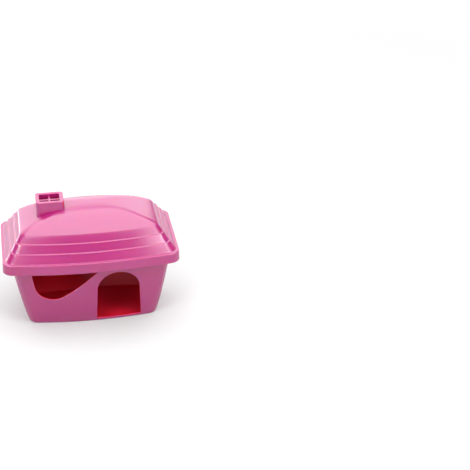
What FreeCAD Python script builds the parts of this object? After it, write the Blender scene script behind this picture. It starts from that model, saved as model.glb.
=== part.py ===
import FreeCAD, Part
import math
import os

# A small animal's house in two plastic mouldings: a tub called base and a lift-off roof.
# Millimetres. X runs along the house, the doorway looks along -Y, and Z is up.
# The origin is the middle of the underside.

# Plan shape shared by both mouldings
LONG_SIDE_BOW = 6.4           # how far each long wall swells past its corners
LENGTH_LESS_WIDTH = 35.0      # the roof's half length less its half width at the corners
ROUND_STEPS = 2               # straight steps in each small rounded edge
LONG_SIDE_CHORDS = 10         # straight chords along each bowed long wall
END_CHORDS = 4
CORNER_CHORDS = 5

# Roof heights
SKIRT_BOTTOM = 66.0
LIP_TOP = 76.0
STEP_TOPS = [83.7, 91.2, 98.0]
VAULT_RISE = 15.9
CHIMNEY_TOP = 121.3

# Roof half lengths, from the skirt up to the top step
SKIRT_FOOT = 83.5
LIP_EDGE = 83.2
STEP_FEET = [80.2, 74.4, 69.2]
STEP_EDGES = [76.0, 70.7, 65.2]
LIP_CORNER_RADIUS = 10.4
CORNER_RADIUS_PER_INSET = 0.22
STEP_EDGE_ROUND = 0.7

# The vault's sides follow rise * (1 - share ** VAULT_POWER), where share is 1 at its foot
VAULT_POWER = 2.5
VAULT_SHARES = [1.0, 0.94, 0.86, 0.75, 0.61, 0.44, 0.25, 0.08]
VAULT_CREASE_SOFTENING = 7.0
VAULT_SEAT_INSET = 0.3
VAULT_SEAT_DEPTH = 0.5

# Roof walls
ROOF_WALL = 1.8
STEP_WALL_INSET = 1.1         # plan offset that keeps the sloping step walls one thickness

# Chimney
CHIMNEY_CENTRE_X = -35.0
CHIMNEY_LENGTH = 26.6
CHIMNEY_WIDTH = 23.4
CHIMNEY_CORNER = 3.4
CHIMNEY_WALL = 3.8
CHIMNEY_RIM_ROUND = 0.7
VENT_BAR_WIDTH = 2.0
VENT_BAR_DEPTH = 2.2
VENT_BAR_RECESS = 2.2

# Base walls: half sizes run from the foot to the rim as share ** BASE_FLARE_POWER
BASE_HEIGHT = 74.2
BASE_FOOT_LENGTH = 61.6
BASE_TOP_LENGTH = 76.1
BASE_FOOT_WIDTH = 27.1
BASE_TOP_WIDTH = 42.4
BASE_FOOT_BOW = 4.1
BASE_FOOT_CORNER = 9.5
BASE_TOP_CORNER = 9.8
BASE_END_BOW_SHARE = 0.35     # the end walls bow this share of the long walls' bow
BASE_FLARE_POWER = 0.8
BASE_STEPS = 6
BASE_STEP_POWER = 1.3         # closer levels near the foot, where the wall curves most
BASE_WALL = 1.8
FLOOR = 2.2
FOOT_ROUND = 1.2
FLOOR_ROUND = 1.5

# Rim that the roof's lip rests on
RIM_THICKNESS = 2.0
RIM_CLEARANCE = 0.8
RIM_ROUND = 0.5

# Arched doorway in the front wall
DOOR_CENTRE_X = 24.2
DOOR_SILL = 3.8               # a low threshold stands above the floor
DOOR_SILL_HALF_WIDTH = 21.5
DOOR_ARCH_RADIUS = 20.2
DOOR_ARCH_HEIGHT = 39.2
DOOR_JAMB_LEAN = 2.0          # degrees

# Window beside it: a bowl with a steep left edge and a long rising right edge
BOWL_CENTRE_X = -37.6
BOWL_CENTRE_Z = 48.6
BOWL_RADIUS = 17.4
WINDOW_TOP = 66.4
WINDOW_TOP_RIGHT_X = 8.6
WINDOW_LEFT_LEAN = 8.4        # degrees
WINDOW_RISE_START = 38.7      # degrees, where the right edge leaves the bowl
WINDOW_RISE_MIDDLE = (-8.9, 48.5)
WINDOW_TOP_CORNER = 2.5

FRONT_CUT = (-70.0, -12.0)    # the cutters' reach in Y, through the front wall only


def point(x, y, z):
    return FreeCAD.Vector(x, y, z)


def polar(centre_x, centre_y, radius, degrees):
    turn = math.radians(degrees)
    return centre_x + radius * math.cos(turn), centre_y + radius * math.sin(turn)


def line(start, end):
    return Part.LineSegment(start, end).toShape()


def arc(start, middle, end):
    return Part.Arc(start, middle, end).toShape()


def side_angles(facing, turn, chords):
    """Directions to the ends of a bowed side's chords, in degrees."""
    return [facing - turn + 2 * turn * step / chords for step in range(chords + 1)]


def corner_angles(start, end):
    """Directions to the chord ends inside a rounded corner, in degrees."""
    return [start + (end - start) * step / CORNER_CHORDS for step in range(1, CORNER_CHORDS)]


def bow_radius(half_chord, bow):
    return (half_chord ** 2 + bow ** 2) / (2 * bow)


def end_turn(half_chord, bow):
    """Degrees by which a bowed side turns from its middle to its end."""
    return math.degrees(math.asin(half_chord / bow_radius(half_chord, bow))) if bow else 0.0


def side_points(half_chord, depth, corner, bow, facing, chords):
    """One side of an outline: an arc where it bows, and one straight chord where it doesn't."""
    if not bow:
        return [
            polar(*polar(0.0, 0.0, depth, facing), side * half_chord, facing + 90.0)
            for side in (-1, 1)
        ]
    radius = bow_radius(half_chord, bow) + corner
    centre = polar(0.0, 0.0, depth - radius, facing)
    angles = side_angles(facing, end_turn(half_chord, bow), chords)
    return [polar(*centre, radius, angle) for angle in angles]


def outline(half_length, half_width, corner, long_bow, end_bow, z):
    """A rounded rectangle with bowed sides, drawn in short chords."""
    inner = (half_length - corner, half_width - corner)
    bows = (long_bow, end_bow)
    spots = []
    for quarter in range(4):
        side = quarter % 2
        facing = quarter * 90.0 - 90.0
        depth = inner[1 - side] + bows[side] + corner
        chords = (LONG_SIDE_CHORDS, END_CHORDS)[side]
        spots += side_points(inner[side], depth, corner, bows[side], facing, chords)
        centre = inner_corner(*inner, quarter)
        start = facing + end_turn(inner[side], bows[side])
        end = facing + 90.0 - end_turn(inner[1 - side], bows[1 - side])
        spots += [polar(*centre, corner, angle) for angle in corner_angles(start, end)]
    corners = [point(x, y, z) for x, y in spots]
    return Part.makePolygon(corners + corners[:1])


def inner_corner(inner_x, inner_y, number):
    signs = [(1, -1), (1, 1), (-1, 1), (-1, -1)][number]
    return inner_x * signs[0], inner_y * signs[1]


def roof_outline(half_length, z, grow=0.0):
    """The roof's plan at any level. A positive grow offsets it outward, a negative one inward."""
    inset = LIP_EDGE - half_length
    corner = LIP_CORNER_RADIUS - CORNER_RADIUS_PER_INSET * inset + grow
    half_width = half_length - LENGTH_LESS_WIDTH
    return outline(half_length + grow, half_width + grow, corner, LONG_SIDE_BOW, 0.0, z)


def vault_outline(share, foot_length, foot_z):
    """A level of the vault, where its plan has shrunk to the given share of its foot."""
    corner = LIP_CORNER_RADIUS - CORNER_RADIUS_PER_INSET * (LIP_EDGE - foot_length)
    corner = corner * share + VAULT_CREASE_SOFTENING * (1 - share) * share
    half_width = (foot_length - LENGTH_LESS_WIDTH) * share
    z = foot_z + VAULT_RISE * (1 - share ** VAULT_POWER)
    return outline(foot_length * share, half_width, corner, LONG_SIDE_BOW * share, 0.0, z)


def stack(outlines):
    """A solid with straight walls from each outline to the next."""
    return Part.makeLoft(outlines, True, True)


def roll(radius, upward):
    """Offsets that round an edge, as (plan inset, height short of the corner) pairs."""
    turns = [math.radians(90.0 * step / ROUND_STEPS) for step in range(ROUND_STEPS + 1)]
    if not upward:
        turns.reverse()
    return [(radius * (1 - math.cos(t)), radius * (1 - math.sin(t))) for t in turns]


def rolled_top(half_length, top):
    """Roof outlines that turn a wall's top edge over on to the ledge above it."""
    return [
        roof_outline(half_length, top - short, -inset)
        for inset, short in roll(STEP_EDGE_ROUND, upward=True)
    ]


def vault(foot_length, foot_z):
    """The vault, with a short straight wall under its foot that seats it on the top step."""
    seat = vault_outline(1.0, foot_length, foot_z)
    seat.translate(point(0, 0, -VAULT_SEAT_DEPTH))
    return stack([seat] + [vault_outline(share, foot_length, foot_z) for share in VAULT_SHARES])


def roof_outside():
    skirt = [
        roof_outline(SKIRT_FOOT, SKIRT_BOTTOM + short, -inset)
        for inset, short in roll(STEP_EDGE_ROUND, upward=False)
    ]
    form = stack(skirt + rolled_top(LIP_EDGE, LIP_TOP))
    foot_z = LIP_TOP
    for foot, edge, top in zip(STEP_FEET, STEP_EDGES, STEP_TOPS):
        form = form.fuse(stack([roof_outline(foot, foot_z)] + rolled_top(edge, top)))
        foot_z = top
    return form.fuse(vault(STEP_EDGES[-1] - VAULT_SEAT_INSET, foot_z))


def roof_hollow():
    """The space under the roof, one wall in from its outside."""
    foot_z = LIP_TOP - ROOF_WALL
    form = stack([
        roof_outline(SKIRT_FOOT, SKIRT_BOTTOM - ROOF_WALL, -ROOF_WALL),
        roof_outline(LIP_EDGE, foot_z, -ROOF_WALL),
    ])
    for foot, edge, top in zip(STEP_FEET, STEP_EDGES, STEP_TOPS):
        lower = roof_outline(foot, foot_z, -STEP_WALL_INSET)
        foot_z = top - ROOF_WALL
        form = form.fuse(stack([lower, roof_outline(edge, foot_z, -STEP_WALL_INSET)]))
    vault_foot = STEP_EDGES[-1] - STEP_WALL_INSET - VAULT_SEAT_INSET
    return form.fuse(vault(vault_foot, foot_z))


def post(length, width, corner, low, high, top_round):
    """A rounded post over the chimney's centre, with its top edge rolled over."""
    levels = [outline(length / 2, width / 2, corner, 0.0, 0.0, low)]
    levels += [
        outline(length / 2 - rolled, width / 2 - rolled, corner - rolled, 0.0, 0.0, high - short)
        for rolled, short in roll(top_round, upward=True)
    ]
    for level in levels:
        level.translate(point(CHIMNEY_CENTRE_X, 0, 0))
    return stack(levels)


def vent_cross():
    """Two crossed bars set a little below the chimney's mouth."""
    top = CHIMNEY_TOP - VENT_BAR_RECESS
    low = top - VENT_BAR_DEPTH
    length = CHIMNEY_LENGTH - CHIMNEY_WALL
    width = CHIMNEY_WIDTH - CHIMNEY_WALL
    half_bar = VENT_BAR_WIDTH / 2
    along = Part.makeBox(
        length, VENT_BAR_WIDTH, VENT_BAR_DEPTH,
        point(CHIMNEY_CENTRE_X - length / 2, -half_bar, low),
    )
    across = Part.makeBox(
        VENT_BAR_WIDTH, width, VENT_BAR_DEPTH,
        point(CHIMNEY_CENTRE_X - half_bar, -width / 2, low),
    )
    return along.fuse(across)


def make_roof():
    chimney = post(
        CHIMNEY_LENGTH, CHIMNEY_WIDTH, CHIMNEY_CORNER,
        STEP_TOPS[-1], CHIMNEY_TOP, CHIMNEY_RIM_ROUND,
    )
    flue = post(
        CHIMNEY_LENGTH - 2 * CHIMNEY_WALL,
        CHIMNEY_WIDTH - 2 * CHIMNEY_WALL,
        CHIMNEY_CORNER - CHIMNEY_WALL / 2,
        STEP_TOPS[-1] - 2 * ROOF_WALL,
        CHIMNEY_TOP + 1.0,
        CHIMNEY_RIM_ROUND,
    )
    shell = roof_outside().fuse(chimney).cut(roof_hollow()).cut(flue)
    return shell.fuse(vent_cross())


def base_outline(z, inset):
    """The base's plan at any height."""
    flare = (z / BASE_HEIGHT) ** BASE_FLARE_POWER
    length = BASE_FOOT_LENGTH + (BASE_TOP_LENGTH - BASE_FOOT_LENGTH) * flare
    width = BASE_FOOT_WIDTH + (BASE_TOP_WIDTH - BASE_FOOT_WIDTH) * flare
    corner = BASE_FOOT_CORNER + (BASE_TOP_CORNER - BASE_FOOT_CORNER) * flare
    bow = BASE_FOOT_BOW + (LONG_SIDE_BOW - BASE_FOOT_BOW) * flare
    end_bow = bow * BASE_END_BOW_SHARE
    return outline(length - inset, width - inset, corner - inset, bow, end_bow, z)


def base_block(low, inset, foot_round):
    """The base's flaring form from a rounded foot up to the rim."""
    foot = [
        base_outline(low + short, inset + rolled)
        for rolled, short in roll(foot_round, upward=False)
    ]
    wall_low = low + foot_round
    heights = [
        wall_low + (BASE_HEIGHT - wall_low) * (step / BASE_STEPS) ** BASE_STEP_POWER
        for step in range(1, BASE_STEPS + 1)
    ]
    return stack(foot + [base_outline(z, inset) for z in heights])


def doorway():
    left_x, left_z = polar(
        DOOR_CENTRE_X, DOOR_ARCH_HEIGHT, DOOR_ARCH_RADIUS, 180.0 - DOOR_JAMB_LEAN
    )
    right_x, right_z = polar(
        DOOR_CENTRE_X, DOOR_ARCH_HEIGHT, DOOR_ARCH_RADIUS, DOOR_JAMB_LEAN
    )
    y = FRONT_CUT[0]
    sill_left = point(DOOR_CENTRE_X - DOOR_SILL_HALF_WIDTH, y, DOOR_SILL)
    sill_right = point(DOOR_CENTRE_X + DOOR_SILL_HALF_WIDTH, y, DOOR_SILL)
    left = point(left_x, y, left_z)
    crown = point(DOOR_CENTRE_X, y, DOOR_ARCH_HEIGHT + DOOR_ARCH_RADIUS)
    right = point(right_x, y, right_z)
    edges = [
        line(sill_left, left),
        arc(left, crown, right),
        line(right, sill_right),
        line(sill_right, sill_left),
    ]
    return pushed_back(edges)


def window():
    y = FRONT_CUT[0]
    left_x, left_z = polar(BOWL_CENTRE_X, BOWL_CENTRE_Z, BOWL_RADIUS, 180.0 + WINDOW_LEFT_LEAN)
    low_x, low_z = polar(BOWL_CENTRE_X, BOWL_CENTRE_Z, BOWL_RADIUS, -110.0)
    rise_x, rise_z = polar(BOWL_CENTRE_X, BOWL_CENTRE_Z, BOWL_RADIUS, WINDOW_RISE_START - 90.0)
    lean = (WINDOW_TOP - left_z) * math.tan(math.radians(WINDOW_LEFT_LEAN))
    top_left = point(left_x - lean, y, WINDOW_TOP)
    left = point(left_x, y, left_z)
    rise = point(rise_x, y, rise_z)
    middle = point(WINDOW_RISE_MIDDLE[0], y, WINDOW_RISE_MIDDLE[1])
    top_right = point(WINDOW_TOP_RIGHT_X, y, WINDOW_TOP)
    edges = [
        line(top_left, left),
        arc(left, point(low_x, y, low_z), rise),
        arc(rise, middle, top_right),
        line(top_right, top_left),
    ]
    cutter = pushed_back(edges)
    corners = [
        e for e in cutter.Edges
        if abs(e.tangentAt(e.FirstParameter).y) > 0.99 and e.BoundBox.ZMin > WINDOW_TOP - 0.1
    ]
    return cutter.makeFillet(WINDOW_TOP_CORNER, corners)


def pushed_back(edges):
    """A cutter that runs from in front of the house through its front wall."""
    face = Part.Face(Part.Wire(edges))
    return face.extrude(point(0, FRONT_CUT[1] - FRONT_CUT[0], 0))


def make_rim():
    """The flat rim round the base's mouth, a clearance inside the roof's skirt."""
    low = BASE_HEIGHT - RIM_THICKNESS
    inset = ROOF_WALL + RIM_CLEARANCE
    under = [
        roof_outline(LIP_EDGE, low + short, -inset - rolled)
        for rolled, short in roll(RIM_ROUND, upward=False)
    ]
    over = [
        roof_outline(LIP_EDGE, BASE_HEIGHT - short, -inset - rolled)
        for rolled, short in roll(RIM_ROUND, upward=True)
    ]
    return stack(under + over)


def make_base():
    outside = base_block(0.0, 0.0, FOOT_ROUND).fuse(make_rim())
    shell = outside.cut(base_block(FLOOR, BASE_WALL, FLOOR_ROUND))
    return shell.cut(doorway()).cut(window())


def write(shape, name):
    solids = shape.Solids
    assert len(solids) == 1, f"{name} has {len(solids)} solids"
    assert solids[0].isValid(), f"{name} isn't valid"
    box = solids[0].optimalBoundingBox(False, False)
    print(
        f"{name}: {box.XLength:.1f} x {box.YLength:.1f} mm, "
        f"z {box.ZMin:.1f} to {box.ZMax:.1f}, {solids[0].Volume / 1000:.1f} cm3"
    )
    solids[0].exportStep(f"parts/{name}.step")


os.makedirs("parts", exist_ok=True)
write(make_base(), "base")
write(make_roof(), "roof")
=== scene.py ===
import math

import bmesh
import bpy
import numpy as np
from mathutils import Matrix, Vector
from mathutils.geometry import delaunay_2d_cdt


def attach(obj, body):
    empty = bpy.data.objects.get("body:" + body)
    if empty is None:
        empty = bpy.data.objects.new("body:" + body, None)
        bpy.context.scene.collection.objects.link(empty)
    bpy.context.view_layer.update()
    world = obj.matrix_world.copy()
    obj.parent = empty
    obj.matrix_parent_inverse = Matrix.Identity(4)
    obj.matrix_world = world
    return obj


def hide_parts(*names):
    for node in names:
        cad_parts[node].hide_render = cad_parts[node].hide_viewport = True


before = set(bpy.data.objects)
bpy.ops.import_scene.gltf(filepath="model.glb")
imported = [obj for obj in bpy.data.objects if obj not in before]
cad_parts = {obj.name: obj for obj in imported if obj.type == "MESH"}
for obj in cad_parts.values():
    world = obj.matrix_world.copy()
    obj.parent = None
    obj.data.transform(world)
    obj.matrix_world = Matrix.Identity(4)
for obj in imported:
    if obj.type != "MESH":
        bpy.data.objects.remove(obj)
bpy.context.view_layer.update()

# A hamster house in two glossy plastic mouldings, a tub and a lift-off roof.
# Sizes are real ones in millimetres unless a comment says otherwise.
# MM turns them into metres.
MM = 0.001

# Plan shape shared by both mouldings
LONG_SIDE_BOW = 6.4
LENGTH_LESS_WIDTH = 35.0
LONG_SIDE_POINTS = 76
END_POINTS = 40
CORNER_POINTS = 14
LEAST_BOW = 1e-4                # keeps the radius of a straight side finite

# Steps in each kind of small rounded edge, and rows between a plain wall's foot and its top
EDGE_STEPS = 5
FOOT_STEPS = 6
RIM_STEPS = 4
OPENING_EDGE_STEPS = 4
PATH_CORNER_STEPS = 6
BAR_EDGE_STEPS = 3
WALL_ROWS = 4

# Roof
SKIRT_BOTTOM = 66.0
SKIRT_FOOT = 83.5
LIP_EDGE = 83.2
LIP_TOP = 76.0
STEP_FEET = [80.2, 74.4, 69.2]
STEP_EDGES = [76.0, 70.7, 65.2]
STEP_TOPS = [83.7, 91.2, 98.0]
STEP_EDGE_ROUND = 0.7
STEP_FOOT_ROUND = 0.4
FILLET_MIDDLE = 0.3             # how far along its round a fillet's middle row stands
TOP_EDGE_SPREAD = 0.3
TOP_EDGE_DROP = 0.6
LIP_CORNER_RADIUS = 10.4
CORNER_RADIUS_PER_INSET = 0.22
VAULT_RISE = 15.9
VAULT_POWER = 2.5
VAULT_CREASE_SOFTENING = 7.0
VAULT_EDGE_SHARE = 0.985        # the vault's first row in from its foot, as a share of the plan
VAULT_SHARES = (0.96, 0.04)
VAULT_ROWS = 30
ROOF_WALL = 1.8
STEP_WALL_INSET = 1.1

# Chimney
CHIMNEY_CENTRE_X = -35.0
CHIMNEY_LENGTH = 26.6
CHIMNEY_WIDTH = 23.4
CHIMNEY_CORNER = 3.4
CHIMNEY_TOP = 121.3
CHIMNEY_WALL = 3.8
CHIMNEY_RIM_ROUND = 0.7
LEAST_CORNER = 0.05
FLUE_REACH_BELOW = 6.0          # how far the flue's cutter passes the vault's foot and the top
FLUE_REACH_ABOVE = 2.0
VENT_BAR_WIDTH = 2.0
VENT_BAR_DEPTH = 2.2
VENT_BAR_RECESS = 2.2
VENT_BAR_ROUND = 0.35

# Base
BASE_HEIGHT = 74.2
BASE_FOOT_LENGTH = 61.6
BASE_TOP_LENGTH = 76.1
BASE_FOOT_WIDTH = 27.1
BASE_TOP_WIDTH = 42.4
BASE_FOOT_BOW = 4.1
BASE_FOOT_CORNER = 9.5
BASE_TOP_CORNER = 9.8
BASE_END_BOW_SHARE = 0.35
BASE_FLARE_POWER = 0.8
BASE_WALL = 1.8
BASE_WALL_ROWS = 44
INNER_TOP_ROLL = ((0.5, 0.0), (0.25, 0.1), (0.08, 0.25))    # spread and drop of each row
INNER_WALL_DROP = 0.6
FLOOR = 2.2
FOOT_ROUND = 1.2
FLOOR_ROUND = 1.0
FLOOR_SHARES = (0.96, 0.85, 0.65, 0.45, 0.25, 0.1)
RIM_THICKNESS = 2.0
RIM_CLEARANCE = 0.8
RIM_ROUND = 0.5

# Doorway and window, as seen from the front in X and Z
DOOR_CENTRE_X = 24.2
DOOR_SILL = 3.8
DOOR_SILL_HALF_WIDTH = 21.5
DOOR_ARCH_RADIUS = 20.2
DOOR_ARCH_HEIGHT = 39.2
DOOR_JAMB_LEAN = 2.0
DOOR_CORNER = 1.2
BOWL_CENTRE_X = -37.6
BOWL_CENTRE_Z = 48.6
BOWL_RADIUS = 17.4
WINDOW_TOP = 66.4
WINDOW_TOP_RIGHT_X = 8.6
WINDOW_LEFT_LEAN = 8.4
WINDOW_RISE_START = 38.7
WINDOW_RISE_MIDDLE = (-8.9, 48.5)
WINDOW_TOP_CORNER = 2.5
WINDOW_CORNER_GAP = 0.3
WINDOW_CORNER_GUIDE = -4        # the point of the right edge that the top corner is drawn from
OPENING_EDGE_ROUND = 0.45
OPENING_POINT_GAP = 0.8
PANEL_GAP_SHARE = 0.6           # how near the wall's own points may stand to an opening

# Mesh cleaning, in metres and degrees
WELD_DISTANCE = 2e-7
LEAST_EDGE = 1e-7
SHARP_ANGLE = 50.0
NORMAL_WEIGHT = 80

# Plastic
PINK = (0.285, 0.008, 0.118)
# Painted light: the chamber's faces get this deeper red in place of the light that bounces inside
# it.
PAINTED_CHAMBER_RED = (0.50, 0.010, 0.028) # stands in for light that the chamber's own walls redden
ROOF_CENTRE_Z = 70.0            # heights that the insides of the roof and the base face
BASE_CENTRE_Z = 73.2
# Painted light: the flue's deeper part gets half the painted chamber red, for the reddened shade
# deep in it.
FLUE_MARGIN = 2.0
FLUE_PAINTED_RED_SHARE = 0.5
FLUE_PAINTED_RED_DEPTH = 8.0
TINT_SPREAD = 0.04
PLASTIC_IOR = 1.6
SHINE_OUTSIDE, SHINE_INSIDE = 0.75, 0.2
ROUGHNESS = (0.19, 0.24)
SCATTER_RADIUS = (1.0, 0.12, 0.18)
SCATTER_SCALE = 0.002           # metres
CLOUD_SCALE, CLOUD_DETAIL = 35.0, 3.0
GRAIN_SCALE, GRAIN_DETAIL = 900.0, 2.0
GRAIN_STRENGTH = 0.12
GRAIN_HEIGHT = 0.0001           # metres

# Studio, in metres and watts
FLOOR_REACH = 6.0
FLOOR_GREY = 0.38
FLOOR_GLOW = 0.15
FLOOR_FADE = (0.35, 1.0)        # from here to here the floor turns into plain white background
WORLD_LIGHT = 0.3
LIGHT_AIM = (0.0, 0.0, 0.08)
LIGHTS = [                      # name, place, aim, width and height, power
    ("back_softbox", (-0.4, 1.3, 0.75), LIGHT_AIM, (3.0, 1.5), 28.0),
    ("overhead_softbox", (0.2, -0.15, 1.25), (0.2, -0.15, 0.0), (1.8, 2.0), 39.0),
    ("left_softbox", (-1.2, -1.1, 0.7), LIGHT_AIM, (1.0, 1.0), 28.0),
    ("right_softbox", (1.2, -1.1, 0.7), LIGHT_AIM, (1.0, 1.0), 28.0),
    ("left_card", (-0.75, 0.75, 0.10), LIGHT_AIM, (0.9, 0.2), 2.8),
]

# The photograph's camera, fitted to the house's own edges in the 470 by 470 frame
CAMERA_AZIMUTH = -10.34
CAMERA_ELEVATION = 27.69
CAMERA_ROLL = 0.4
CAMERA_DISTANCE = 1337.2
CAMERA_SIDE_OFFSET = -142.5
CAMERA_RISE_OFFSET = -69.0
CAMERA_LENS = 103.0
CAMERA_SENSOR = 36.0
CAMERA_CLIP = (0.05, 50.0)      # metres


def end_turn(half_chord, bow):
    """The angle by which a bowed side turns from its middle to its end, and its radius."""
    radius = (half_chord ** 2 + bow ** 2) / (2 * bow)
    return math.asin(half_chord / radius), radius


def outline(half_length, half_width, corner, long_bow, end_bow=0.0):
    """A rounded rectangle with bowed sides, as points that start at the front's left end."""
    inner = (half_length - corner, half_width - corner)
    bows = (max(long_bow, LEAST_BOW), max(end_bow, LEAST_BOW))
    points = []
    for quarter in range(4):
        side = quarter % 2
        facing = math.radians(quarter * 90 - 90)
        turn, radius = end_turn(inner[side], bows[side])
        next_turn = end_turn(inner[1 - side], bows[1 - side])[0]
        depth = inner[1 - side] + bows[side] + corner
        count = END_POINTS if side else LONG_SIDE_POINTS
        centre = depth - radius - corner
        angles = facing + np.linspace(-turn, turn, count, endpoint=False)
        points.append(np.c_[
            centre * math.cos(facing) + (radius + corner) * np.cos(angles),
            centre * math.sin(facing) + (radius + corner) * np.sin(angles),
        ])
        sign_x, sign_y = [(1, -1), (1, 1), (-1, 1), (-1, -1)][quarter]
        start, end = facing + turn, facing + math.pi / 2 - next_turn
        angles = np.linspace(start, end, CORNER_POINTS, endpoint=False)
        points.append(np.c_[
            inner[0] * sign_x + corner * np.cos(angles),
            inner[1] * sign_y + corner * np.sin(angles),
        ])
    return np.vstack(points)


def row(plan, z):
    return np.c_[plan, np.full(len(plan), z)]


def roof_row(half_length, z, grow=0.0):
    inset = LIP_EDGE - half_length
    corner = LIP_CORNER_RADIUS - CORNER_RADIUS_PER_INSET * inset + grow
    half_width = half_length - LENGTH_LESS_WIDTH
    return row(outline(half_length + grow, half_width + grow, corner, LONG_SIDE_BOW), z)


def vault_row(share, foot_length, foot_z):
    corner = LIP_CORNER_RADIUS - CORNER_RADIUS_PER_INSET * (LIP_EDGE - foot_length)
    corner = corner * share + VAULT_CREASE_SOFTENING * (1 - share) * share
    half_width = (foot_length - LENGTH_LESS_WIDTH) * share
    z = foot_z + VAULT_RISE * (1 - share ** VAULT_POWER)
    return row(outline(foot_length * share, half_width, corner, LONG_SIDE_BOW * share), z)


def quarter_turn(radius, steps):
    """Offsets round a small edge, from the upright wall to the level face."""
    turns = np.linspace(0, math.pi / 2, steps + 1)
    return [(radius * (1 - math.cos(t)), radius * (1 - math.sin(t))) for t in turns]


def rolled_edge(half_length, z):
    """Rows that turn a roof wall's top edge over on to its ledge."""
    return [
        roof_row(half_length, z - short, -inset)
        for inset, short in quarter_turn(STEP_EDGE_ROUND, EDGE_STEPS)
    ]


def between(first, last, count):
    """Evenly spaced rows strictly between two rows."""
    return [first + (last - first) * k / (count + 1) for k in range(1, count + 1)]


def joined(*groups):
    rows = []
    for group in groups:
        rows.extend(group)
    return rows


def roof_outside_rows():
    """From the skirt's foot up over the steps to the top of the vault."""
    bottom = [
        roof_row(SKIRT_FOOT, SKIRT_BOTTOM + short, -inset)
        for inset, short in reversed(quarter_turn(STEP_EDGE_ROUND, EDGE_STEPS))
    ]
    lip = rolled_edge(LIP_EDGE, LIP_TOP)
    rows = joined(bottom, between(bottom[-1], lip[0], WALL_ROWS), lip)
    foot_z = LIP_TOP
    for foot, edge, top in zip(STEP_FEET, STEP_EDGES, STEP_TOPS):
        last = top == STEP_TOPS[-1]
        ledge_end = roof_row(foot, foot_z, STEP_FOOT_ROUND)
        wall_start = roof_row(foot, foot_z + STEP_FOOT_ROUND)
        part = FILLET_MIDDLE * STEP_FOOT_ROUND
        corner = roof_row(foot, foot_z + part, part)
        wall_end = [roof_row(edge, top)] if last else rolled_edge(edge, top)
        rows = joined(
            rows, [ledge_end, corner, wall_start],
            between(wall_start, wall_end[0], WALL_ROWS), wall_end,
        )
        foot_z = top
    return rows[:-1] + top_edge_rows() + vault_rows(STEP_EDGES[-1], STEP_TOPS[-1])[2:]


def top_edge_rows():
    """A small softening where the top step's wall meets the vault."""
    near = vault_row(VAULT_EDGE_SHARE, STEP_EDGES[-1], STEP_TOPS[-1])
    under = roof_row(STEP_EDGES[-1] + TOP_EDGE_SPREAD, STEP_TOPS[-1] - TOP_EDGE_DROP)
    edge = vault_row(1.0, STEP_EDGES[-1], STEP_TOPS[-1])
    return [under, (under + near + 2 * edge) / 4, near]


def vault_rows(foot_length, foot_z):
    shares = [1.0, VAULT_EDGE_SHARE] + list(np.linspace(*VAULT_SHARES, VAULT_ROWS))
    return [vault_row(share, foot_length, foot_z) for share in shares]


def roof_inside_rows():
    """The underside, from the vault's top down to the skirt's foot."""
    foot_z = LIP_TOP - ROOF_WALL
    low = roof_row(SKIRT_FOOT, SKIRT_BOTTOM, -ROOF_WALL)
    high = roof_row(LIP_EDGE, foot_z, -ROOF_WALL)
    rows = joined([low], between(low, high, WALL_ROWS), [high])
    for foot, edge, top in zip(STEP_FEET, STEP_EDGES, STEP_TOPS):
        lower = roof_row(foot, foot_z, -STEP_WALL_INSET)
        foot_z = top - ROOF_WALL
        upper = roof_row(edge, foot_z, -STEP_WALL_INSET)
        rows = joined(rows, [lower], between(lower, upper, WALL_ROWS), [upper])
    vault = vault_rows(STEP_EDGES[-1] - STEP_WALL_INSET, foot_z)
    return list(reversed(rows + vault[1:]))


def base_plan(z, inset):
    flare = (z / BASE_HEIGHT) ** BASE_FLARE_POWER
    length = BASE_FOOT_LENGTH + (BASE_TOP_LENGTH - BASE_FOOT_LENGTH) * flare - inset
    width = BASE_FOOT_WIDTH + (BASE_TOP_WIDTH - BASE_FOOT_WIDTH) * flare - inset
    corner = BASE_FOOT_CORNER + (BASE_TOP_CORNER - BASE_FOOT_CORNER) * flare - inset
    bow = BASE_FOOT_BOW + (LONG_SIDE_BOW - BASE_FOOT_BOW) * flare
    return length, width, corner, bow, bow * BASE_END_BOW_SHARE


def base_row(z, inset):
    return row(outline(*base_plan(z, inset)), z)


def front_y(x, z, inset):
    """Where the base's front wall stands, at any point seen from the front."""
    length, width, corner, bow, _ = base_plan(z, inset)
    inner_x = length - corner
    radius = (inner_x ** 2 + bow ** 2) / (2 * bow)
    return -(width + bow) + (radius + corner) - math.sqrt((radius + corner) ** 2 - x ** 2)


def wall_heights(low, high):
    return np.linspace(low, high, BASE_WALL_ROWS)


def scaled_rows(edge_row, shares):
    """Rows that close a flat face towards its middle."""
    return [edge_row * np.array([share, share, 1.0]) for share in shares]


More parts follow.
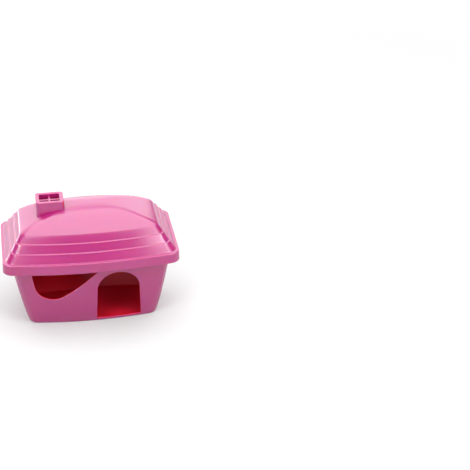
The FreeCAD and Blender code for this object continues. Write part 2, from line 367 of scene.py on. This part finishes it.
def base_rows():
    """All the base's rows from the underside's middle to the floor's, and its two wall spans."""
    foot = [
        base_row(short, rolled)
        for rolled, short in reversed(quarter_turn(FOOT_ROUND, FOOT_STEPS))
    ]
    rim_low = BASE_HEIGHT - RIM_THICKNESS
    outer_wall = [base_row(z, 0.0) for z in wall_heights(FOOT_ROUND, rim_low)]
    rim_inset = ROOF_WALL + RIM_CLEARANCE
    rim_under = [
        roof_row(LIP_EDGE, rim_low + short, -rim_inset - rolled)
        for rolled, short in reversed(quarter_turn(RIM_ROUND, RIM_STEPS))
    ]
    rim_over = [
        roof_row(LIP_EDGE, BASE_HEIGHT - short, -rim_inset - rolled)
        for rolled, short in quarter_turn(RIM_ROUND, RIM_STEPS)
    ]
    inner_top = [
        base_row(BASE_HEIGHT - drop, BASE_WALL - spread)
        for spread, drop in INNER_TOP_ROLL
    ]
    inner_low = FLOOR + FLOOR_ROUND
    inner_high = BASE_HEIGHT - INNER_WALL_DROP
    inner_wall = [base_row(z, BASE_WALL) for z in wall_heights(inner_high, inner_low)]
    floor_edge = [
        base_row(FLOOR + short, BASE_WALL + rolled)
        for rolled, short in quarter_turn(FLOOR_ROUND, EDGE_STEPS)
    ]
    under = list(reversed(scaled_rows(foot[0], FLOOR_SHARES)))
    floor = scaled_rows(floor_edge[-1], FLOOR_SHARES)
    before_wall = under + foot[:-1]
    rows = joined(before_wall, outer_wall, rim_under, rim_over, inner_top)
    inner_start = len(rows)
    rows = joined(rows, inner_wall, floor_edge[1:], floor)
    outer_span = (len(before_wall), len(before_wall) + BASE_WALL_ROWS - 1)
    inner_span = (inner_start, inner_start + BASE_WALL_ROWS - 1)
    return rows, outer_span, inner_span


def arc_points(centre_x, centre_z, radius, start, end):
    """Points on an arc between two angles in degrees, ends included."""
    sweep = math.radians(abs(end - start))
    count = max(3, int(sweep * radius / OPENING_POINT_GAP) + 1)
    angles = np.radians(np.linspace(start, end, count))
    return np.c_[centre_x + radius * np.cos(angles), centre_z + radius * np.sin(angles)]


def arc_through(start, middle, end):
    """Points on the circle through three points, ends included."""
    (ax, az), (bx, bz), (cx, cz) = start, middle, end
    d = 2 * (ax * (bz - cz) + bx * (cz - az) + cx * (az - bz))
    a2, b2, c2 = ax * ax + az * az, bx * bx + bz * bz, cx * cx + cz * cz
    ux = (a2 * (bz - cz) + b2 * (cz - az) + c2 * (az - bz)) / d
    uz = (a2 * (cx - bx) + b2 * (ax - cx) + c2 * (bx - ax)) / d
    first = math.degrees(math.atan2(az - uz, ax - ux))
    last = math.degrees(math.atan2(cz - uz, cx - ux))
    last += 360 * round((first - last) / 360)
    return arc_points(ux, uz, math.hypot(ax - ux, az - uz), first, last)


def rounded_corner(before, corner, after, radius):
    """Points that round one sharp corner of a path."""
    before, corner, after = (np.array(p, float) for p in (before, corner, after))
    back = (before - corner) / np.linalg.norm(before - corner)
    ahead = (after - corner) / np.linalg.norm(after - corner)
    half = math.acos(float(np.clip(back @ ahead, -1, 1))) / 2
    bisector = (back + ahead) / np.linalg.norm(back + ahead)
    centre = corner + bisector * radius / math.sin(half)
    start = corner + back * radius / math.tan(half) - centre
    end = corner + ahead * radius / math.tan(half) - centre
    first = math.atan2(start[1], start[0])
    turn = math.atan2(start[0] * end[1] - start[1] * end[0], float(start @ end))
    angles = first + turn * np.linspace(0, 1, PATH_CORNER_STEPS + 1)
    return centre + radius * np.c_[np.cos(angles), np.sin(angles)]


def evenly_spaced(path):
    """A closed path resampled so that long straight stretches have points too."""
    closed = np.vstack([path, path[:1]])
    out = []
    for start, end in zip(closed[:-1], closed[1:]):
        count = max(1, int(round(np.linalg.norm(end - start) / OPENING_POINT_GAP)))
        out.extend(start + (end - start) * k / count for k in range(count))
    return np.array(out)


def doorway_path():
    lean = DOOR_JAMB_LEAN
    arch = arc_points(DOOR_CENTRE_X, DOOR_ARCH_HEIGHT, DOOR_ARCH_RADIUS, lean, 180 - lean)
    left = (DOOR_CENTRE_X - DOOR_SILL_HALF_WIDTH, DOOR_SILL)
    right = (DOOR_CENTRE_X + DOOR_SILL_HALF_WIDTH, DOOR_SILL)
    left_corner = rounded_corner(arch[-1], left, right, DOOR_CORNER)
    right_corner = rounded_corner(left, right, arch[0], DOOR_CORNER)
    return evenly_spaced(np.vstack([arch, left_corner, right_corner]))


def window_path():
    bowl = arc_points(
        BOWL_CENTRE_X, BOWL_CENTRE_Z, BOWL_RADIUS, 180 + WINDOW_LEFT_LEAN, 270 + WINDOW_RISE_START
    )
    top_right = (WINDOW_TOP_RIGHT_X, WINDOW_TOP)
    rise = arc_through(bowl[-1], WINDOW_RISE_MIDDLE, top_right)
    lean = (WINDOW_TOP - bowl[0][1]) * math.tan(math.radians(WINDOW_LEFT_LEAN))
    top_left = (bowl[0][0] - lean, WINDOW_TOP)
    right_corner = rounded_corner(
        rise[WINDOW_CORNER_GUIDE], top_right, top_left, WINDOW_TOP_CORNER
    )
    left_corner = rounded_corner(top_right, top_left, bowl[0], WINDOW_TOP_CORNER)
    reach = np.linalg.norm(right_corner[0] - np.array(top_right))
    kept = rise[np.linalg.norm(rise - np.array(top_right), axis=1) > reach + WINDOW_CORNER_GAP]
    return evenly_spaced(np.vstack([bowl, kept[1:], right_corner, left_corner]))


def path_normals(path):
    """Unit normals that point away from an anticlockwise opening, into its wall."""
    ahead = np.roll(path, -1, axis=0) - path
    back = path - np.roll(path, 1, axis=0)
    ahead /= np.linalg.norm(ahead, axis=1)[:, None]
    back /= np.linalg.norm(back, axis=1)[:, None]
    along = ahead + back
    along /= np.linalg.norm(along, axis=1)[:, None]
    return np.c_[along[:, 1], -along[:, 0]]


def anticlockwise(path):
    ahead = np.roll(path, -1, axis=0)
    area = np.sum(path[:, 0] * ahead[:, 1] - ahead[:, 0] * path[:, 1])
    return path if area > 0 else path[::-1]


def inside(path, points):
    """Which points lie inside a closed path."""
    x, z = points[:, 0][:, None], points[:, 1][:, None]
    ahead = np.roll(path, -1, axis=0)
    x0, z0, x1, z1 = path[:, 0], path[:, 1], ahead[:, 0], ahead[:, 1]
    crosses = (z0 > z) != (z1 > z)
    with np.errstate(divide="ignore", invalid="ignore"):
        at = x0 + (z - z0) * (x1 - x0) / (z1 - z0)
    return np.sum(crosses & (x < at), axis=1) % 2 == 1


def clearance(path, points):
    """Each point's distance to the nearest stretch of a closed path."""
    start, end = path, np.roll(path, -1, axis=0)
    along = end - start
    length = np.sum(along ** 2, axis=1)
    offset = points[:, None, :] - start[None]
    share = np.clip(np.sum(offset * along[None], axis=2) / length, 0, 1)
    gap = offset - share[..., None] * along[None]
    return np.sqrt(np.sum(gap ** 2, axis=2)).min(axis=1)


def wall_panel(rows, span, openings, inset):
    """Triangles for one face of the front wall, with rounded openings left out of it."""
    first, last = span
    grid = np.array([rows[k][: LONG_SIDE_POINTS + 1] for k in range(first, last + 1)])
    flat = grid[:, :, [0, 2]]
    height, width = flat.shape[:2]
    border = [(0, j) for j in range(width)]
    border += [(i, width - 1) for i in range(1, height)]
    border += [(height - 1, j) for j in range(width - 2, -1, -1)]
    border += [(i, 0) for i in range(height - 2, 0, -1)]
    on_border = set(border)
    holes = [path + path_normals(path) * OPENING_EDGE_ROUND for path in openings]
    inner = [(i, j) for i in range(height) for j in range(width) if (i, j) not in on_border]
    spots = np.array([flat[i, j] for i, j in inner])
    keep = np.ones(len(inner), bool)
    for hole in holes:
        keep &= ~inside(hole, spots)
        keep &= clearance(hole, spots) > PANEL_GAP_SHARE * OPENING_POINT_GAP
    cells = border + [cell for cell, kept in zip(inner, keep) if kept]
    points = [tuple(flat[i, j]) for i, j in cells]
    places = [tuple(grid[i, j]) for i, j in cells]
    edges = [(k, (k + 1) % len(border)) for k in range(len(border))]
    for hole in holes:
        offset = len(points)
        points += [tuple(p) for p in hole]
        places += [(x, front_y(x, z, inset), z) for x, z in hole]
        edges += [(offset + k, offset + (k + 1) % len(hole)) for k in range(len(hole))]
    out_points, _, triangles, origins, _, _ = delaunay_2d_cdt(
        [Vector(p) for p in points], edges, [], 0, LEAST_EDGE
    )
    flat_border = np.array([flat[i, j] for i, j in border])
    middles = np.array([
        np.mean([tuple(out_points[k]) for k in triangle], axis=0) for triangle in triangles
    ])
    wanted = inside(flat_border, middles)
    for hole in holes:
        wanted &= ~inside(hole, middles)
    vertices = [places[origin[0]] for origin in origins]
    return vertices, [list(t) for t, w in zip(triangles, wanted) if w]


def opening_edge(path):
    """The band through the wall round one opening, with both its edges rounded."""
    normals = path_normals(path)
    turns = np.linspace(0, math.pi / 2, OPENING_EDGE_STEPS + 1)
    rings = []
    for turn in turns:
        reach = OPENING_EDGE_ROUND * (1 - math.sin(turn))
        depth = OPENING_EDGE_ROUND * (1 - math.cos(turn))
        spots = path + normals * reach
        rings.append([(x, front_y(x, z, 0.0) + depth, z) for x, z in spots])
    for turn in reversed(turns):
        reach = OPENING_EDGE_ROUND * (1 - math.sin(turn))
        depth = OPENING_EDGE_ROUND * (1 - math.cos(turn))
        spots = path + normals * reach
        rings.append([(x, front_y(x, z, BASE_WALL) - depth, z) for x, z in spots])
    count = len(path)
    vertices = [place for ring in rings for place in ring]
    faces = []
    for level in range(len(rings) - 1):
        for k in range(count):
            a = level * count + k
            b = level * count + (k + 1) % count
            faces.append([a, b, b + count, a + count])
    return vertices, faces


class Skin:
    """Collects patches of one surface and welds them into one mesh object."""

    def __init__(self, name):
        self.name = name
        self.vertices = []
        self.faces = []

    def add(self, vertices, faces):
        offset = len(self.vertices)
        self.vertices.extend(tuple(v) for v in vertices)
        self.faces.extend([k + offset for k in face] for face in faces)

    def add_rows(self, rows, skipped_spans=()):
        """Joins neighbouring rows, and leaves the front side out of the skipped spans."""
        count = len(rows[0])
        faces = []
        for level in range(len(rows) - 1):
            in_span = any(first <= level < last for first, last in skipped_spans)
            for k in range(count):
                if in_span and k < LONG_SIDE_POINTS:
                    continue
                a = level * count + k
                b = level * count + (k + 1) % count
                faces.append([a, b, b + count, a + count])
        self.add(np.vstack(rows), faces)

    def add_cap(self, edge_row):
        """Closes a row with a fan to its middle."""
        middle = np.mean(edge_row, axis=0)
        count = len(edge_row)
        fan = [[k, (k + 1) % count, count] for k in range(count)]
        self.add(list(edge_row) + [middle], fan)

    def build(self):
        mesh = bpy.data.meshes.new(self.name)
        mesh.from_pydata([[c * MM for c in v] for v in self.vertices], [], self.faces)
        work = bmesh.new()
        work.from_mesh(mesh)
        bmesh.ops.remove_doubles(work, verts=work.verts, dist=WELD_DISTANCE)
        bmesh.ops.recalc_face_normals(work, faces=work.faces)
        work.to_mesh(mesh)
        work.free()
        mesh.shade_smooth()
        piece = bpy.data.objects.new(self.name, mesh)
        bpy.context.scene.collection.objects.link(piece)
        return piece


def post_rows(length, width, corner, heights_and_insets):
    rows = []
    for z, inset in heights_and_insets:
        rounding = max(corner - inset, LEAST_CORNER)
        plan = outline(length / 2 - inset, width / 2 - inset, rounding, 0.0)
        plan[:, 0] += CHIMNEY_CENTRE_X
        rows.append(row(plan, z))
    return rows


def post(name, rows):
    skin = Skin(name)
    skin.add_rows(rows)
    skin.add_cap(rows[0])
    skin.add_cap(rows[-1])
    return skin.build()


def vault_height(x, y):
    """The height of the vault's outside over a point in plan."""
    half_length = STEP_EDGES[-1]
    half_width = half_length - LENGTH_LESS_WIDTH
    swell = LONG_SIDE_BOW * (1 - (x / half_length) ** 2)
    share = max(abs(x) / half_length, abs(y) / (half_width + swell))
    return STEP_TOPS[-1] + VAULT_RISE * (1 - share ** VAULT_POWER)


def chimney_block():
    """The chimney's outside, whose foot ends inside the thickness of the vault."""
    top = [
        (CHIMNEY_TOP - short, inset)
        for inset, short in quarter_turn(CHIMNEY_RIM_ROUND, EDGE_STEPS)
    ]
    rows = post_rows(CHIMNEY_LENGTH, CHIMNEY_WIDTH, CHIMNEY_CORNER, [(0.0, 0.0)] + top)
    for corner in rows[0]:
        corner[2] = vault_height(corner[0], corner[1]) - ROOF_WALL / 2
    return post("chimney_block", rows)


def flue_cutter():
    """The hollow through the chimney and the vault, which flares over the rim's rounding."""
    flare = [
        (CHIMNEY_TOP - short, -spread)
        for spread, short in quarter_turn(CHIMNEY_RIM_ROUND, EDGE_STEPS)
    ]
    low = (STEP_TOPS[-1] - FLUE_REACH_BELOW, 0.0)
    high = (CHIMNEY_TOP + FLUE_REACH_ABOVE, -CHIMNEY_RIM_ROUND)
    length = CHIMNEY_LENGTH - 2 * CHIMNEY_WALL
    width = CHIMNEY_WIDTH - 2 * CHIMNEY_WALL
    corner = CHIMNEY_CORNER - CHIMNEY_WALL / 2
    return post("flue_cutter", post_rows(length, width, corner, [low] + flare + [high]))


def vent_bar(name, length, width):
    """One bar of the cross in the chimney's mouth."""
    top = CHIMNEY_TOP - VENT_BAR_RECESS
    low = top - VENT_BAR_DEPTH
    work = bmesh.new()
    bmesh.ops.create_cube(work, size=1.0)
    size = Matrix.Diagonal((length * MM, width * MM, VENT_BAR_DEPTH * MM, 1.0))
    place = Matrix.Translation((CHIMNEY_CENTRE_X * MM, 0.0, (top + low) / 2 * MM))
    work.transform(place @ size)
    bmesh.ops.bevel(
        work, geom=work.edges[:], offset=VENT_BAR_ROUND * MM, segments=BAR_EDGE_STEPS,
        profile=0.5, affect="EDGES",
    )
    mesh = bpy.data.meshes.new(name)
    work.to_mesh(mesh)
    work.free()
    piece = bpy.data.objects.new(name, mesh)
    bpy.context.scene.collection.objects.link(piece)
    return piece


def combine(target, tool, operation):
    """Applies one exact boolean and removes the tool."""
    modifier = target.modifiers.new("combine", "BOOLEAN")
    modifier.operation = operation
    modifier.solver = "EXACT"
    modifier.object = tool
    bpy.context.view_layer.update()
    graph = bpy.context.evaluated_depsgraph_get()
    mesh = bpy.data.meshes.new_from_object(target.evaluated_get(graph))
    old = target.data
    target.modifiers.clear()
    target.data = mesh
    bpy.data.meshes.remove(old)
    bpy.data.objects.remove(tool)


def finish_shell(piece):
    """Smooth shading that keeps broad faces flat beside their rounded edges."""
    work = bmesh.new()
    work.from_mesh(piece.data)
    bmesh.ops.dissolve_degenerate(work, dist=LEAST_EDGE, edges=work.edges)
    bmesh.ops.triangulate(work, faces=[f for f in work.faces if len(f.verts) > 4])
    work.to_mesh(piece.data)
    work.free()
    piece.data.shade_smooth()
    piece.data.set_sharp_from_angle(angle=math.radians(SHARP_ANGLE))
    weights = piece.modifiers.new("weighted_normals", "WEIGHTED_NORMAL")
    weights.keep_sharp = True
    weights.weight = NORMAL_WEIGHT


def mark_chamber_painted_red(piece, middle_z, flue=False):
    """Marks the points that face the chamber, which get a painted red for the light bounced
    inside it.
    """
    mesh = piece.data
    count = len(mesh.vertices)
    places, normals = np.empty(3 * count, np.float32), np.empty(3 * count, np.float32)
    mesh.vertices.foreach_get("co", places)
    mesh.vertices.foreach_get("normal", normals)
    places = places.reshape(-1, 3) / MM
    outward = np.sum((places - [0.0, 0.0, middle_z]) * normals.reshape(-1, 3), axis=1)
    marks = (outward < 0).astype(np.float32)
    # In the flue only the deeper part gets the painted chamber red, at half strength, as painted
    # shade deep in it.
    if flue:
        reach = np.abs(places - [CHIMNEY_CENTRE_X, 0.0, 0.0])
        in_flue = places[:, 2] > STEP_TOPS[-1]
        in_flue &= reach[:, 0] < CHIMNEY_LENGTH / 2 - FLUE_MARGIN
        in_flue &= reach[:, 1] < CHIMNEY_WIDTH / 2 - FLUE_MARGIN
        marks[in_flue] = FLUE_PAINTED_RED_SHARE * (places[in_flue, 2] < CHIMNEY_TOP - FLUE_PAINTED_RED_DEPTH)
    # This mark places the painted chamber red and the lower shine.
    mesh.attributes.new("inside", "FLOAT", "POINT").data.foreach_set("value", marks)


def make_roof():
    skin = Skin("roof_shell")
    rows = roof_inside_rows() + roof_outside_rows()
    skin.add_rows(rows)
    skin.add_cap(rows[0])
    skin.add_cap(rows[-1])
    roof = skin.build()
    combine(roof, chimney_block(), "UNION")
    combine(roof, flue_cutter(), "DIFFERENCE")
    length = CHIMNEY_LENGTH - CHIMNEY_WALL
    width = CHIMNEY_WIDTH - CHIMNEY_WALL
    combine(roof, vent_bar("bar_along", length, VENT_BAR_WIDTH), "UNION")
    combine(roof, vent_bar("bar_across", VENT_BAR_WIDTH, width), "UNION")
    finish_shell(roof)
    mark_chamber_painted_red(roof, ROOF_CENTRE_Z, flue=True)
    return roof


def make_base():
    rows, outer_span, inner_span = base_rows()
    openings = [anticlockwise(doorway_path()), anticlockwise(window_path())]
    skin = Skin("base_shell")
    skin.add_rows(rows, (outer_span, inner_span))
    skin.add_cap(rows[0])
    skin.add_cap(rows[-1])
    skin.add(*wall_panel(rows, outer_span, openings, 0.0))
    skin.add(*wall_panel(rows, inner_span, openings, BASE_WALL))
    for path in openings:
        skin.add(*opening_edge(path))
    base = skin.build()
    finish_shell(base)
    mark_chamber_painted_red(base, BASE_CENTRE_Z)
    return base


def plastic(name, colour):
    """Soft-gloss moulded plastic with a faint mottle and grain, duller inside, where a deeper red
    is painted on for the chamber's bounced light.
    """
    material = bpy.data.materials.new(name)
    material.use_nodes = True
    nodes, links = material.node_tree.nodes, material.node_tree.links
    shader = nodes["Principled BSDF"]
    shader.inputs["IOR"].default_value = PLASTIC_IOR
    shader.inputs["Subsurface Weight"].default_value = 1.0
    shader.inputs["Subsurface Radius"].default_value = SCATTER_RADIUS
    shader.inputs["Subsurface Scale"].default_value = SCATTER_SCALE
    place = nodes.new("ShaderNodeTexCoord")

    cloud = nodes.new("ShaderNodeTexNoise")
    cloud.inputs["Scale"].default_value = CLOUD_SCALE
    cloud.inputs["Detail"].default_value = CLOUD_DETAIL
    links.new(place.outputs["Object"], cloud.inputs["Vector"])
    tint = nodes.new("ShaderNodeMix")
    tint.data_type = "RGBA"
    for side, level in (("A", 1 - TINT_SPREAD), ("B", 1 + TINT_SPREAD)):
        tint.inputs[side].default_value = (*[c * level for c in colour], 1.0)
    links.new(cloud.outputs["Fac"], tint.inputs["Factor"])
    # Painted light: marked faces are mixed towards a deeper red that stands in for the chamber's
    # bounced light.
    mark = nodes.new("ShaderNodeAttribute")
    mark.attribute_name = "inside"
    painted_red = nodes.new("ShaderNodeMix")
    painted_red.data_type = "RGBA"
    painted_red.inputs["B"].default_value = (*PAINTED_CHAMBER_RED, 1.0)
    links.new(mark.outputs["Fac"], painted_red.inputs["Factor"])
    links.new(tint.outputs["Result"], painted_red.inputs["A"])
    links.new(painted_red.outputs["Result"], shader.inputs["Base Color"])
    shine = nodes.new("ShaderNodeMapRange")
    shine.inputs["To Min"].default_value = SHINE_OUTSIDE
    shine.inputs["To Max"].default_value = SHINE_INSIDE
    links.new(mark.outputs["Fac"], shine.inputs["Value"])
    links.new(shine.outputs["Result"], shader.inputs["Specular IOR Level"])

    gloss = nodes.new("ShaderNodeMapRange")
    gloss.inputs["To Min"].default_value = ROUGHNESS[0]
    gloss.inputs["To Max"].default_value = ROUGHNESS[1]
    links.new(cloud.outputs["Fac"], gloss.inputs["Value"])
    links.new(gloss.outputs["Result"], shader.inputs["Roughness"])

    grain = nodes.new("ShaderNodeTexNoise")
    grain.inputs["Scale"].default_value = GRAIN_SCALE
    grain.inputs["Detail"].default_value = GRAIN_DETAIL
    links.new(place.outputs["Object"], grain.inputs["Vector"])
    bump = nodes.new("ShaderNodeBump")
    bump.inputs["Strength"].default_value = GRAIN_STRENGTH
    bump.inputs["Distance"].default_value = GRAIN_HEIGHT
    links.new(grain.outputs["Fac"], bump.inputs["Height"])
    links.new(bump.outputs["Normal"], shader.inputs["Normal"])
    return material


def camera_white(nodes, links, inner, strength):
    """Adds plain white to a shader, seen by the camera, in reflections and through glass."""
    path = nodes.new("ShaderNodeLightPath")
    seen = nodes.new("ShaderNodeMath")
    seen.operation = "MAXIMUM"
    links.new(path.outputs["Is Camera Ray"], seen.inputs[0])
    links.new(path.outputs["Is Glossy Ray"], seen.inputs[1])
    both = nodes.new("ShaderNodeMath")
    both.operation = "MAXIMUM"
    links.new(seen.outputs[0], both.inputs[0])
    links.new(path.outputs["Is Transmission Ray"], both.inputs[1])
    level = nodes.new("ShaderNodeMath")
    level.operation = "MULTIPLY"
    level.inputs[1].default_value = strength
    links.new(both.outputs[0], level.inputs[0])
    glow = nodes.new("ShaderNodeEmission")
    links.new(level.outputs[0], glow.inputs["Strength"])
    add = nodes.new("ShaderNodeAddShader")
    links.new(inner, add.inputs[0])
    links.new(glow.outputs[0], add.inputs[1])
    return add.outputs[0]


def make_floor():
    """A pale floor that keeps the house's soft shadow and fades to white further out."""
    mesh = bpy.data.meshes.new("floor")
    signs = [(-1, -1), (1, -1), (1, 1), (-1, 1)]
    corners = [(FLOOR_REACH * x, FLOOR_REACH * y, 0.0) for x, y in signs]
    mesh.from_pydata(corners, [], [(0, 1, 2, 3)])
    floor = bpy.data.objects.new("floor", mesh)
    bpy.context.scene.collection.objects.link(floor)
    material = bpy.data.materials.new("floor_white")
    material.use_nodes = True
    nodes, links = material.node_tree.nodes, material.node_tree.links
    nodes.remove(nodes["Principled BSDF"])
    diffuse = nodes.new("ShaderNodeBsdfDiffuse")
    diffuse.inputs["Color"].default_value = (FLOOR_GREY, FLOOR_GREY, FLOOR_GREY, 1.0)
    near = camera_white(nodes, links, diffuse.outputs[0], FLOOR_GLOW)
    black = nodes.new("ShaderNodeBsdfDiffuse")
    black.inputs["Color"].default_value = (0.0, 0.0, 0.0, 1.0)
    far = camera_white(nodes, links, black.outputs[0], 1.0)
    place = nodes.new("ShaderNodeTexCoord")
    distance = nodes.new("ShaderNodeVectorMath")
    distance.operation = "LENGTH"
    links.new(place.outputs["Object"], distance.inputs[0])
    fade = nodes.new("ShaderNodeMapRange")
    fade.inputs["From Min"].default_value = FLOOR_FADE[0]
    fade.inputs["From Max"].default_value = FLOOR_FADE[1]
    links.new(distance.outputs["Value"], fade.inputs["Value"])
    blend = nodes.new("ShaderNodeMixShader")
    links.new(fade.outputs["Result"], blend.inputs["Fac"])
    links.new(near, blend.inputs[1])
    links.new(far, blend.inputs[2])
    links.new(blend.outputs[0], nodes["Material Output"].inputs["Surface"])
    floor.data.materials.append(material)


def make_world():
    """White to the camera, and a dim even light on the house."""
    world = bpy.data.worlds.new("studio")
    bpy.context.scene.world = world
    world.use_nodes = True
    nodes, links = world.node_tree.nodes, world.node_tree.links
    background = nodes["Background"]
    background.inputs["Color"].default_value = (1.0, 1.0, 1.0, 1.0)
    path = nodes.new("ShaderNodeLightPath")
    level = nodes.new("ShaderNodeMapRange")
    level.inputs["To Min"].default_value = WORLD_LIGHT
    level.inputs["To Max"].default_value = 1.0
    links.new(path.outputs["Is Camera Ray"], level.inputs["Value"])
    links.new(level.outputs["Result"], background.inputs["Strength"])


def area_light(name, place, aim, size, power):
    data = bpy.data.lights.new(name, "AREA")
    data.shape = "RECTANGLE"
    data.size, data.size_y = size
    data.energy = power
    light = bpy.data.objects.new(name, data)
    light.location = place
    direction = Vector(aim) - Vector(place)
    light.rotation_mode = "QUATERNION"
    light.rotation_quaternion = direction.to_track_quat("-Z", "Y")
    bpy.context.scene.collection.objects.link(light)


def make_camera():
    a, e = math.radians(CAMERA_AZIMUTH), math.radians(CAMERA_ELEVATION)
    roll = math.radians(CAMERA_ROLL)
    back = Vector((math.sin(a) * math.cos(e), -math.cos(a) * math.cos(e), math.sin(e)))
    level_right = Vector((math.cos(a), math.sin(a), 0.0))
    level_up = back.cross(level_right)
    right = math.cos(roll) * level_right + math.sin(roll) * level_up
    up = -math.sin(roll) * level_right + math.cos(roll) * level_up
    data = bpy.data.cameras.new("camera")
    data.lens = CAMERA_LENS
    data.sensor_width = CAMERA_SENSOR
    data.clip_start, data.clip_end = CAMERA_CLIP
    camera = bpy.data.objects.new("camera", data)
    place = (
        -CAMERA_SIDE_OFFSET * right - CAMERA_RISE_OFFSET * up + CAMERA_DISTANCE * back
    ) * MM
    camera.matrix_world = Matrix((
        (right.x, up.x, back.x, place.x),
        (right.y, up.y, back.y, place.y),
        (right.z, up.z, back.z, place.z),
        (0.0, 0.0, 0.0, 1.0),
    ))
    bpy.context.scene.collection.objects.link(camera)
    bpy.context.scene.camera = camera


def dress(piece, node, material):
    """Gives a piece its material and the body that it rides on and stands for."""
    piece.data.materials.clear()
    piece.data.materials.append(material)
    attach(piece, node)
    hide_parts(node)


make_camera()
make_floor()
make_world()
for light_values in LIGHTS:
    area_light(*light_values)
dress(make_base(), "base", plastic("base_plastic_look", PINK))
dress(make_roof(), "roof", plastic("roof_plastic_look", PINK))
bpy.context.scene.view_settings.view_transform = "Standard"
